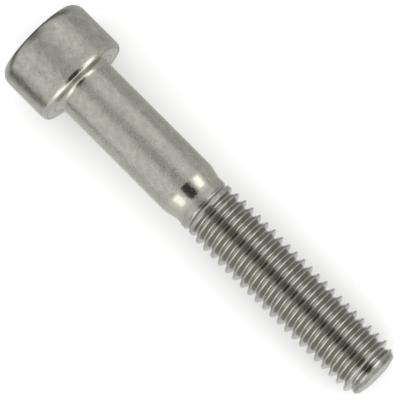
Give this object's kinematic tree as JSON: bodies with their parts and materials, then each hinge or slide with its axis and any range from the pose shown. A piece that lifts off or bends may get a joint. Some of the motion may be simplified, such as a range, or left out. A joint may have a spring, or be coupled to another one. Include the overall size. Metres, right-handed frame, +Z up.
{
  "type": "hex socket cap screw",
  "caption": "Cylinder-head cap screw with a hexagon socket, a plain shank and a right-hand thread over the last three fifths of its length.",
  "frame": {"origin": "on the ground, below the middle of the screw's overall length and width, as it lies on its side", "axes": "+X along the screw from head to tip, with the axis tipped 2.9 degrees down towards the tip; +Z up; +Y across the screw"},
  "size_m": [0.058, 0.0128, 0.013],
  "materials": {
    "stainless_steel": "satin stainless steel, cold forged and thread rolled, with a faint mottled tumble finish"
  },
  "bodies": {
    "root": {"cap_screw": "stainless_steel"}
  },
  "joints": []
}
